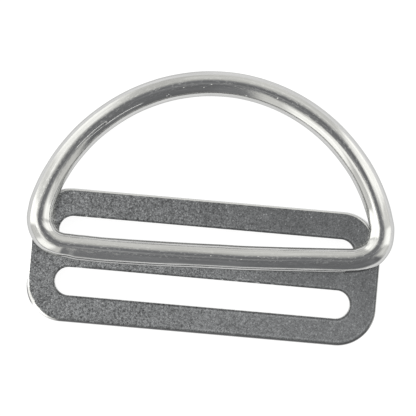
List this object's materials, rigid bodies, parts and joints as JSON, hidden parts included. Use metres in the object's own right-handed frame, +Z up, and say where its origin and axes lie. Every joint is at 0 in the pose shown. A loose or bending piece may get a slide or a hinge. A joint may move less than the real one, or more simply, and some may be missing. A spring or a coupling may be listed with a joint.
{
  "type": "d ring with webbing slide",
  "caption": "Polished round-wire D ring lying on a flat stamped webbing slide with two long round-ended slots and rolled outer edges.",
  "frame": {"origin": "centre of the slide plate's underside, on the bar between its two slots", "axes": "+X along the slide plate's length, +Y across it towards the ring's crown, +Z up from the surface that both pieces lie on"},
  "size_m": [0.0657, 0.0471, 0.0072],
  "materials": {
    "polished_wire": "bright polished stainless wire with fine drawing lines and a few small nicks",
    "tumbled_sheet": "dull grey tumbled stainless sheet with a fine speckle, brighter on the rolled edges"
  },
  "bodies": {
    "root": {"d_ring": "polished_wire", "slide_plate": "tumbled_sheet"}
  },
  "joints": []
}
